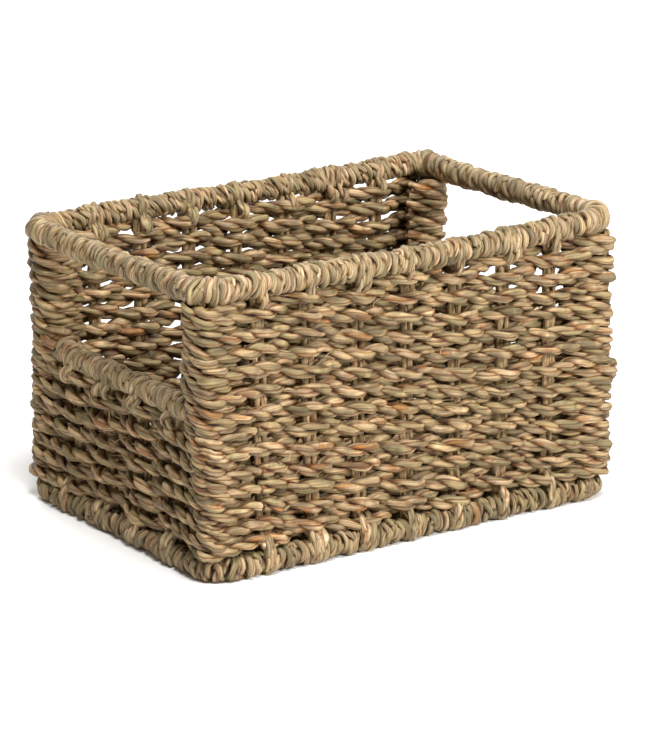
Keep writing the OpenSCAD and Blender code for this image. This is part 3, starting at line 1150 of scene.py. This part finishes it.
# %% The strip map
STRAND_GAP = 2 * MM
ROW_MARGIN = 0.04
MAP_MARGIN = 0.002


def values_of(mesh, name, width=1):
    """A point attribute as an array."""
    field_name = "vector" if width == 3 else "value"
    found = np.zeros(width * len(mesh.vertices))
    if name in mesh.attributes:
        mesh.attributes[name].data.foreach_get(field_name, found)
    return found.reshape(-1, width) if width > 1 else found


def unrolled(values, first, face, period):
    """Values that wrap round a period, made continuous within each face."""
    span = np.maximum.reduceat(values, first) - np.minimum.reduceat(values, first)
    wraps = span[face] > period / 2
    return values + period * (wraps & (values < period / 2))


def strip_map(mesh):
    """Lays the strands out in rows on a UV map, each strand a straight strip along its row."""
    vertex = np.empty(len(mesh.loops), int)
    first = np.empty(len(mesh.polygons), int)
    count = np.empty(len(mesh.polygons), int)
    area = np.empty(len(mesh.polygons))
    mesh.loops.foreach_get("vertex_index", vertex)
    mesh.polygons.foreach_get("loop_start", first)
    mesh.polygons.foreach_get("loop_total", count)
    mesh.polygons.foreach_get("area", area)
    face = np.repeat(np.arange(len(first)), count)
    side = values_of(mesh, "round", 3)
    along = values_of(mesh, "along")
    _, strand = np.unique(np.rint(values_of(mesh, "strand")), return_inverse=True)
    length = np.zeros(strand.max() + 1)
    np.maximum.at(length, strand, along)
    length += STRAND_GAP
    start = np.cumsum(length) - length

    turn = unrolled((np.arctan2(side[:, 1], side[:, 0]) / (2 * math.pi) % 1)[vertex], first, face, 1.0)
    place = unrolled(along[vertex], first, face, length[strand][vertex]) + start[strand][vertex]
    rows = max(1, round(length.sum() / math.sqrt(max(area.sum(), 1e-9))))
    width = length.sum() / rows
    row = np.floor(np.minimum.reduceat(place, first) / width).clip(0, rows - 1)[face]
    u = place - row * width
    v = (row + ROW_MARGIN + (1 - 2 * ROW_MARGIN) * turn / turn.max()) / rows
    u = MAP_MARGIN + (1 - 2 * MAP_MARGIN) * u / u.max()
    layer = mesh.uv_layers.new(name="OFBake")
    layer.uv.foreach_set("vector", np.stack([u, v], 1).ravel())


print("strips lie", STRAND_GAP / MM, "mm apart")

# %% [markdown]
# ## Keeping a piece
#
# What a tree gives is rested on the floor, shaded smooth and mapped, and the attributes
# that only the tree needed are dropped. Then the piece is hung on the body it rides on, and
# the nodes of the frame that it stands for are hidden.

# %% Making a piece
TREE_ONLY = ("axis", "swell", "twist", "turn", "course")


def make_piece(name, paths, tree, settings, nodes):
    """Runs a tree over some paths and keeps the result as a piece of the basket."""
    mesh = run_tree(name, path_mesh(name, paths), tree, settings)
    mesh.name = name
    spots = np.empty(3 * len(mesh.vertices))
    mesh.vertices.foreach_get("co", spots)
    spots[2::3] = on_the_floor(spots[2::3])
    mesh.vertices.foreach_set("co", spots)
    mesh.polygons.foreach_set("use_smooth", [True] * len(mesh.polygons))
    mesh.update()
    strip_map(mesh)
    for extra in TREE_ONLY:
        if extra in mesh.attributes:
            mesh.attributes.remove(mesh.attributes[extra])
    piece = bpy.data.objects.new(name, mesh)
    bpy.context.collection.objects.link(piece)
    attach(piece, "root")
    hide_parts(*nodes)
    mesh.calc_loop_triangles()
    print(f"{name}: {len(paths)} paths, {len(mesh.loop_triangles)} triangles")


print("dropped after a tree has run:", ", ".join(TREE_ONLY))

# %% [markdown]
# ## The weave
#
# Every course of cord passes outside each corner post, and goes in front of one pair of
# stakes and behind the next. The next course up does the opposite. A course is given as a
# few points: two beside each pair of stakes, at the side of the wall where it passes, and
# three round each post. The smooth curve through them is the wave that real cord takes.
#
# The lower courses go all the way round. Real ones are one long spiral, but a closed ring
# looks the same and has no ends to hide. The upper ones meet the handle openings, so they
# turn back round a post, and the end is tucked in behind.

# %% Walls and courses
SWING_GAP = 3.0 * MM
swing = stake_r + SWING_GAP  # from the middle of a wall to the middle of a cord
POST_TURN = 7.2 * MM  # radius of the turn round a post
BESIDE_STAKES = (-0.13, 0.13)  # of a step, before and after a pair of stakes
LOOSE_COURSES = (10, 11)  # these two stand out from the front right post
LOOSE = 1.45
# How uneven the hand is: shares of the swing and of a turn, and heights
SWING_SPREAD = (0.88, 1.12)
TURN_SPREAD = (0.92, 1.1)
STEP_JITTER = 0.45 * MM
POINT_JITTER = 0.15 * MM
POST_JITTER = 0.3 * MM
POST = np.array([post_x, post_y])
# Where each wall starts and ends, as corners, which way it faces, and its steps
WALLS = {
    "front": ((-1, -1), (1, -1), (0, -1), LONG_STEPS),
    "right": ((1, -1), (1, 1), (1, 0), END_STEPS),
    "back": ((1, 1), (-1, 1), (0, 1), LONG_STEPS),
    "left": ((-1, 1), (-1, -1), (-1, 0), END_STEPS),
}
LONG_WALLS = ("front", "back")
# The post at the end of each wall, and the direction in degrees where its turn starts
TURNS = (
    ("front", (1, -1), -90),
    ("right", (1, 1), 0),
    ("back", (-1, 1), 90),
    ("left", (-1, -1), 180),
)


def course_height(course):
    """Middle height of a course."""
    return weave_low + (course + 0.5) * row_pitch


def wall_points(wall, course):
    """Points of one course along a wall, at its stakes."""
    start, end, outward, steps = WALLS[wall]
    start, end, outward = start * POST, end * POST, np.array(outward)
    points = []
    for i in range(1, steps):
        side = 1 if (i + course) % 2 else -1
        reach = side * swing * rng.uniform(*SWING_SPREAD)
        height = course_height(course) + rng.normal(0, STEP_JITTER)
        for shift in BESIDE_STAKES:
            at = start + (end - start) * (i + shift) / steps + outward * reach
            points.append((*at, height + rng.normal(0, POINT_JITTER)))
    return points


def corner_points(corner, first, course):
    """Points of a quarter turn outside a corner post, from a direction in degrees."""
    loose = LOOSE if first == -90 and course in LOOSE_COURSES else 1.0
    radius = loose * POST_TURN * rng.uniform(*TURN_SPREAD)
    points = []
    for angle in np.radians([first, first + 45, first + 90]):
        at = corner * POST + radius * np.array([np.cos(angle), np.sin(angle)])
        points.append((*at, course_height(course) + rng.normal(0, POST_JITTER)))
    return points


def round_course(course):
    """A closed course that goes round all four walls."""
    path = []
    for wall, corner, first in TURNS:
        path += wall_points(wall, course)
        path += corner_points(corner, first, course)
    return np.array(path), True


print(f"cords pass {swing / MM:.1f} mm to either side of a wall's middle")

# %% [markdown]
# ## Courses that turn back
#
# Beside a handle opening a course comes from its wall, goes round the post and returns on
# the inside, where its end is tucked behind the first stakes. The turn is drawn as seven
# points in the post's own measure. Ends are tucked by hand, so each goes in a little
# further or less far than the last.

# %% Upper courses
TUCK = (4.0, 8.5)  # the least and most that an end stands in from the wall, in mm
BACK_RIGHT_TUCK = 7.0  # what the post at the back right has on top of that, in mm
TURN_BACK_SPREAD = (0.94, 1.06)
# Along the wall and inwards in turn radiuses, and the share of the tuck, for each point
TURN_BACK = (
    (-2.4, 0.55, 0.6),
    (-1.1, 1.0, 0.8),
    (-0.1, 1.1, 1.0),
    (0.75, 0.75, 1.0),
    (1.05, 0.1, 0.6),
    (0.8, -0.65, 0.0),
    (0.1, -1.05, 0.0),
)


def turn_back(corner, outward, course):
    """Points that turn back round a post, from its inside to its outside."""
    side = np.array([corner[0], 0.0])
    outward = np.array(outward, float)
    tuck = (rng.uniform(*TUCK) + (BACK_RIGHT_TUCK if min(corner) > 0 else 0.0)) * MM
    radius = POST_TURN * rng.uniform(*TURN_BACK_SPREAD)
    height = course_height(course)
    points = []
    for along, inward, share in TURN_BACK:
        at = corner * POST + side * along * radius - outward * (inward * radius + share * tuck)
        points.append((*at, height + rng.normal(0, POST_JITTER)))
    return points


def upper_course(wall, course):
    """An open course of a long wall, with both ends tucked in behind their posts."""
    start, end, outward, _ = WALLS[wall]
    path = turn_back(start, outward, course)
    path += wall_points(wall, course)
    path += turn_back(end, outward, course)[::-1]
    return np.array(path), False


print("courses that turn back:", 2 * (ROWS - LOW_ROWS))

# %% Cord on the walls
CORD = {
    "Ply radius": 2.5 * MM,
    "Ply offset": 1.85 * MM,
    "Lay length": 28 * MM,
    "Step": 2.2 * MM,
    "Unevenness": 1.0,
    "Seed": 1,
    "Material": cord_finish,
}
CORNERS = ["front_left", "front_right", "back_left", "back_right"]
ALL_ROUND = [f"{wall}_wall_rows" for wall in WALLS] + [f"post_turns_{corner}" for corner in CORNERS]
HALF = LOW_ROWS // 2
# All the lower courses in one piece would have too many triangles, so there are two
LOWER = (("lowest_courses", range(HALF)), ("courses_below_sills", range(HALF, LOW_ROWS)))

for seed, (name, courses) in enumerate(LOWER, 1):
    paths = [round_course(course) for course in courses]
    make_piece(name, paths, CORD_TREE, {**CORD, "Seed": seed}, ALL_ROUND)
for seed, wall in enumerate(LONG_WALLS, 3):
    paths = [upper_course(wall, course) for course in range(LOW_ROWS, ROWS)]
    nodes = [node for node in ALL_ROUND if wall in node]
    settings = {**CORD, "Seed": seed}
    make_piece(f"upper_courses_{wall}", paths, CORD_TREE, settings, nodes)

# %% [markdown]
# ## Stakes
#
# The stakes stand in pairs and are thinner cord of the same kind, so they come from the
# same tree with smaller plies. They show only as short lengths between the rows that pass
# behind them. Their ends are hidden in the rims, so they are simply cut there.

# %% Stakes of the walls
PAIR = 2.3 * MM  # from the middle of a pair to a stake
STAKE_POINTS = 8
INTO_RIM = 3 * MM
STAKE = {
    **CORD,
    "Ply radius": 1.75 * MM,
    "Ply offset": 0.6 * MM,
    "Lay length": 34 * MM,
    "Step": 3.0 * MM,
    "Unevenness": 0.4,
    "Material": stake_finish,
}


def wall_stakes(wall, high):
    """Upright paths for each pair of stakes of a wall."""
    start, end, _, steps = WALLS[wall]
    start, end = start * POST, end * POST
    along = (end - start) / np.linalg.norm(end - start)
    heights = np.linspace(weave_low - INTO_RIM, high + INTO_RIM, STAKE_POINTS)
    paths = []
    for i in range(1, steps):
        for side in (-PAIR, PAIR):
            at = start + (end - start) * i / steps + along * side
            paths.append((np.array([(*at, z) for z in heights]), False))
    return paths


def wall_top(wall):
    """The height where the weave of a wall ends, under its rim or its sill."""
    return weave_high if wall in LONG_WALLS else sill_z - sill_r


for seed, wall in enumerate(WALLS, 10):
    paths = wall_stakes(wall, wall_top(wall))
    settings = {**STAKE, "Seed": seed}
    make_piece(f"stakes_{wall}", paths, CORD_TREE, settings, [f"{wall}_wall_stakes"])

# %% [markdown]
# ## Base
#
# The base lies inside the bottom rim: pairs of stakes across it and rows of the same cord
# along it, woven in the same way as a long wall, only lying down.

# %% Base stakes and rows
BASE_ROWS = 31
BASE_BESIDE_STAKES = (-0.1, 0.1)
BASE_SPREAD = (0.9, 1.0)
BASE_JITTER = 0.3 * MM
BASE_END = 2 * MM
BASE_COVER = 3.0 * MM  # from the middle of a cord to the top of the base
base_low, base_high = (np.array(corner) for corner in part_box("base_rows_woven"))
base_pitch = (base_high[1] - base_low[1]) / BASE_ROWS
base_swing = (base_high[2] - base_low[2]) / 2 - BASE_COVER
base_z = (base_low[2] + base_high[2]) / 2
BASE_CORD = {
    **CORD,
    "Ply radius": 2.3 * MM,
    "Ply offset": 1.4 * MM,
    "Step": 3.2 * MM,
    "Seed": 20,
    "Material": base_finish,
}


def across_base(step):
    """The place along the base that is so many steps from its left posts."""
    return post_x * (2 * step / LONG_STEPS - 1)


def base_row(number):
    """One row of the base, over one pair of stakes and under the next."""
    y = base_low[1] + (number + 0.5) * base_pitch
    points = [(base_low[0] + BASE_END, y, base_z)]
    for i in range(1, LONG_STEPS):
        side = 1 if (i + number) % 2 else -1
        for shift in BASE_BESIDE_STAKES:
            height = base_z + side * base_swing * rng.uniform(*BASE_SPREAD)
            points.append((across_base(i + shift), y + rng.normal(0, BASE_JITTER), height))
    points.append((base_high[0] - BASE_END, y, base_z))
    return np.array(points), False


def base_stakes():
    """Pairs of stakes across the base."""
    places = np.linspace(base_low[1] + BASE_END, base_high[1] - BASE_END, STAKE_POINTS)
    paths = []
    for i in range(1, LONG_STEPS):
        for side in (-PAIR, PAIR):
            x = across_base(i) + side
            paths.append((np.array([(x, y, base_z) for y in places]), False))
    return paths


rows = [base_row(number) for number in range(BASE_ROWS)]
make_piece("base_rows", rows, CORD_TREE, BASE_CORD, ["base_rows_woven"])
make_piece("stakes_base", base_stakes(), CORD_TREE, {**STAKE, "Seed": 21}, ["base_stakes"])

# %% [markdown]
# ## Bars to wind
#
# Each straight length and each corner of a rim is its own piece, as in the frame, and each
# sill is one. Their paths are the middle lines of the wires: straight sides, quarter
# circles at the corners, and the length of each sill between its two posts.

# %% Paths of the wound bars
SIDES = {"front": (0, -1), "right": (1, 0), "back": (0, 1), "left": (-1, 0)}
BAR_POINTS = 12
BEND_POINTS = 9


def straight_bar(side, z):
    """The straight part of a hoop on one side."""
    sx, sy = SIDES[side]
    along = np.array([-sy * straight_x, sx * straight_y, 0.0])
    middle = np.array([sx * hoop_x, sy * hoop_y, z])
    return np.linspace(middle - along, middle + along, BAR_POINTS), False


def bent_bar(corner, z):
    """The path of a hoop round one of its corners, from one side to the next."""
    sy = -1 if "front" in corner else 1
    sx = -1 if "left" in corner else 1
    first = math.degrees(math.atan2(sy, sx)) - 45
    angles = np.radians(np.linspace(first, first + 90, BEND_POINTS))
    x = sx * straight_x + corner_r * np.cos(angles)
    y = sy * straight_y + corner_r * np.sin(angles)
    return np.stack([x, y, np.full(BEND_POINTS, z)], 1), False


def sill_bar(side, node):
    """The path of a sill, as long as the box of one of its nodes."""
    low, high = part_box(node)
    x = SIDES[side][0] * post_x
    return np.linspace((x, low[1], sill_z), (x, high[1], sill_z), BAR_POINTS), False


print(f"a rim's corners bend at {corner_r / MM:.1f} mm")

# %% [markdown]
# ## Wound rims, grips and sills
#
# All wound bars go through the winding tree, and differ in how the cord was laid. The
# grips and sills are neat: turns close together that hardly lean. The long rims were wound
# more loosely, and the bottom rim most loosely of all. At a corner the turns stand closer,
# because the bend spreads them on its outside. Round the top corners the cord is thicker
# too, and leans over strongly, with its plies side by side instead of twisted.

# %% Winding
WRAP_PLY = 1.95 * MM
WRAP_OFFSET = 1.3 * MM
CORE_DEPTH = 3.6 * MM  # how far the core lies under the surface of a rim
SILL_CORE_DEPTH = 3.4 * MM
WRAP = {
    "Turn radius": rim_r - WRAP_PLY - WRAP_OFFSET,
    "Core radius": rim_r - CORE_DEPTH,
    "Ply radius": WRAP_PLY,
    "Ply offset": WRAP_OFFSET,
    "Spacing": 4.7 * MM,
    "Lean": -0.28,
    "Lean spread": 0.16,
    "Twists": 1.0,
    "Unevenness": 1.0,
    "Material": rim_finish,
}
NEAT = {"Spacing": 4.2 * MM, "Lean": -0.14, "Lean spread": 0.08, "Unevenness": 0.5}
FOOT = {"Spacing": 5.0 * MM, "Lean spread": 0.3, "Material": foot_finish}
FOOT_CORNER = {**FOOT, "Spacing": 3.3 * MM}
TOP_CORNER = {
    "Turn radius": rim_r - 2.9 * MM,
    "Ply radius": 2.6 * MM,
    "Ply offset": 1.7 * MM,
    "Spacing": 3.3 * MM,
    "Lean": -0.38,
    "Lean spread": 0.2,
    "Twists": 0.0,
}
SILL = {
    **NEAT,
    "Turn radius": sill_r - WRAP_PLY - WRAP_OFFSET,
    "Core radius": sill_r - SILL_CORE_DEPTH,
}

wound = []  # node, path, and what differs from the common winding
for side in SIDES:
    if side in LONG_WALLS:
        wound.append((f"top_rim_wrap_{side}", straight_bar(side, top_z), {}))
    else:
        wound.append((f"handle_grip_wrap_{side}", straight_bar(side, top_z), NEAT))
    wound.append((f"bottom_rim_wrap_{side}", straight_bar(side, bottom_z), FOOT))
for corner in CORNERS:
    wound.append((f"top_corner_wrap_{corner}", bent_bar(corner, top_z), TOP_CORNER))
    wound.append((f"bottom_corner_wrap_{corner}", bent_bar(corner, bottom_z), FOOT_CORNER))
for side in ("left", "right"):
    node = f"handle_sill_wrap_{side}"
    wound.append((node, sill_bar(side, node), SILL))
for seed, (node, path, change) in enumerate(wound, 30):
    settings = {**WRAP, **change, "Seed": seed}
    make_piece("winding_" + node, [path], WRAP_TREE, settings, [node])

# %% [markdown]
# ## Ties
#
# At every pair of stakes one or two turns of the winding leave the rim, go round the
# nearest row and come back. They hold the weave to the rims and the sills. A tie is a
# closed loop of eleven points: four over the bar and down its outside, four round the row
# in the wall, and three up the inside. The cord tree turns it into the same cord as the
# winding's.

# %% Ties between rims and rows
TIE = {
    **CORD,
    "Ply radius": WRAP_PLY,
    "Ply offset": 1.1 * MM,
    "Lay length": 18 * MM,
    "Step": 1.7 * MM,
    "Unevenness": 0.6,
    "Material": rim_finish,
}
TIE_APART = 4.6 * MM  # between the two ties at one pair of stakes
TIE_SINKS = 2.3 * MM  # the middle of a tie lies so far inside the surface of the bar
# How far a tie reaches past the surface of the bottom rim, a top rim and a sill
FOOT_REACH, TOP_REACH, SILL_REACH = 5.6 * MM, 6.2 * MM, 7.0 * MM
CORD_HALF = 4.2 * MM
TIE_LEAN = 0.8 * MM
TIE_SLACK = 0.5 * MM
TIE_JITTER = 1.2 * MM
REACH_SPREAD = (0.92, 1.04)
wall_half = swing + CORD_HALF  # from the middle of a wall to its surface


def tie(side, place, z, up, bar_out, bar_r, reach):
    """A closed loop round a bar and the row next to it, at a place along a wall."""
    outward = np.array([*SIDES[side], 0.0])
    along = np.array([-outward[1], outward[0], 0.0])
    wall = outward * (post_x if outward[0] else post_y)
    lean = rng.normal(0, TIE_LEAN)
    over = bar_r + rng.uniform(0.0, TIE_SLACK)
    # Outwards from the wall, up or down from the bar, and the share of the lean
    loop = (
        (bar_out, over, 0.0),
        (bar_out + 0.72 * over, 0.7 * over, 0.1),
        (bar_out + over, 0.0, 0.3),
        (bar_out + 0.9 * over, -0.75 * over, 0.5),
        (0.9 * wall_half, -0.62 * reach, 0.8),
        (0.4 * wall_half, -0.95 * reach, 1.0),
        (-0.4 * wall_half, -0.95 * reach, 1.0),
        (-0.95 * wall_half, -0.62 * reach, 0.8),
        (bar_out - 0.95 * over, -0.7 * over, 0.5),
        (bar_out - over, 0.0, 0.3),
        (bar_out - 0.72 * over, 0.7 * over, 0.1),
    )
    middle = wall + along * place + np.array([0.0, 0.0, z])
    points = []
    for out_by, high, share in loop:
        sideways = outward * out_by + along * lean * share
        points.append(middle + sideways + np.array([0.0, 0.0, up * high]))
    return np.array(points), True


def ties_along(side, steps, z, up, bar_out, bar_r, reach):
    """The ties at all pairs of stakes of one side."""
    half = post_y if SIDES[side][0] else post_x
    paths = []
    for i in range(1, steps):
        for k in range(rng.integers(1, 3)):
            place = half * (2 * i / steps - 1) + (k - 0.5) * TIE_APART
            place += rng.normal(0, TIE_JITTER)
            longer = rng.uniform(*REACH_SPREAD)
            paths.append(tie(side, place, z, up, bar_out, bar_r, reach * longer))
    return paths


def make_ties(node, paths, seed):
    """The ties of one rim or sill as a piece."""
    make_piece("ties_" + node, paths, CORD_TREE, {**TIE, "Seed": seed}, [node])


hoop_out = hoop_y - post_y
rim_tie, sill_tie = rim_r - TIE_SINKS, sill_r - TIE_SINKS
for seed, (side, (_, _, _, steps)) in enumerate(WALLS.items(), 60):
    paths = ties_along(side, steps, bottom_z, -1, hoop_out, rim_tie, rim_r + FOOT_REACH)
    make_ties(f"bottom_rim_wrap_{side}", paths, seed)
    if side in LONG_WALLS:
        paths = ties_along(side, steps, top_z, 1, hoop_out, rim_tie, rim_r + TOP_REACH)
        make_ties(f"top_rim_wrap_{side}", paths, seed + 10)
    else:
        paths = ties_along(side, steps, sill_z, 1, 0.0, sill_tie, sill_r + SILL_REACH)
        make_ties(f"handle_sill_wrap_{side}", paths, seed + 10)

# %% [markdown]
# ## Loose ends
#
# New cord is laid in by tucking its end between the rows, so short tips and torn fibres
# stick out of the walls all over. Each is a short path that starts in the surface of a
# wall at a random place and bends away from it. A few dozen broad tips and a few hundred
# hair-thin fibres make the outline of the basket a little rough, as it should be.

# %% Loose ends and fibres
TIP = {
    "Half width": 1.15 * MM,
    "Half thickness": 0.4 * MM,
    "Turn": 0.0,
    "Taper": 0.9,
    "Step": 1.6 * MM,
    "Unevenness": 1.0,
    "Seed": 80,
    "Material": cord_finish,
}
FIBRE = {
    **TIP,
    "Half width": 0.28 * MM,
    "Half thickness": 0.14 * MM,
    "Seed": 81,
    "Material": rim_finish,
}
TIPS = 60
LOOSE_FIBRES = 240
SPRIG_POINTS = 5
SPRIG_ROOT, SPRIG_BEND = 0.55, 0.5  # of its reach: where it starts, and how far it bends out
SPRIG_SHARES = (0.03, 0.97)  # of the length of a wall
SPRIG_RISE = 0.4
# For tips and for fibres: how far they stand out, in shares, and their lengths in mm
TIP_SIZES = ((0.9, 1.1), (6, 13))
FIBRE_SIZES = ((1.0, 1.2), (5, 14))


def sprig(reach, length):
    """A short path that leaves a wall near its surface and bends away from it."""
    wall = list(WALLS)[rng.integers(0, 4)]
    start, end, outward, _ = WALLS[wall]
    start, end, outward = start * POST, end * POST, np.array(outward)
    share = rng.uniform(*SPRIG_SHARES)
    height = rng.uniform(bottom_z, wall_top(wall))
    along = (end - start) / np.linalg.norm(end - start) * rng.choice([-1, 1])
    rise = rng.normal(0, SPRIG_RISE)
    points = []
    for t in np.linspace(0, 1, SPRIG_POINTS):
        away = reach * (SPRIG_ROOT + SPRIG_BEND * t * t)
        at = start + (end - start) * share + outward * away + along * length * t
        points.append((*at, height + length * rise * t * t))
    return np.array(points), False


def sprigs(number, shares, lengths):
    """A number of sprigs with their reaches and lengths drawn from two ranges."""
    paths = []
    for _ in range(number):
        reach = wall_half * rng.uniform(*shares)
        paths.append(sprig(reach, rng.uniform(*lengths) * MM))
    return paths


tips = sprigs(TIPS, *TIP_SIZES)
make_piece("loose_ends", tips, STRAND_TREE, TIP, ALL_ROUND)
fibres = sprigs(LOOSE_FIBRES, *FIBRE_SIZES)
make_piece("loose_fibres", fibres, STRAND_TREE, FIBRE, ALL_ROUND)

# %% [markdown]
# ## Wire frame
#
# The wires are almost hidden, but a gap between two turns can show them. They follow the
# same hand-made shape as what is wound on them, so they are swept along the same paths.

# %% Wires
WIRE = {"Radius": wire_r, "Step": 3.0 * MM, "Material": wire_finish}
HOOP_ORDER = ("front_right", "back_right", "back_left", "front_left")


def hoop(z):
    """A whole hoop as one closed path."""
    path = []
    for side, corner in zip(SIDES, HOOP_ORDER):
        path += list(straight_bar(side, z)[0][:-1]) + list(bent_bar(corner, z)[0][:-1])
    return np.array(path), True


def post(node):
    """The path of a corner post, up the middle of its box."""
    low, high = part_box(node)
    x, y = (low[0] + high[0]) / 2, (low[1] + high[1]) / 2
    return np.linspace((x, y, low[2]), (x, y, high[2]), BAR_POINTS), False


def make_wire(name, path, node):
    """One wire of the frame as a piece."""
    make_piece(name, [path], WIRE_TREE, WIRE, [node])


make_wire("wire_top_hoop", hoop(top_z), "top_hoop_wire")
make_wire("wire_bottom_hoop", hoop(bottom_z), "bottom_hoop_wire")
for corner in CORNERS:
    node = "corner_post_" + corner
    make_wire("wire_" + node, post(node), node)
for side in ("left", "right"):
    node = "handle_sill_wire_" + side
    make_wire("wire_" + node, sill_bar(side, node), node)
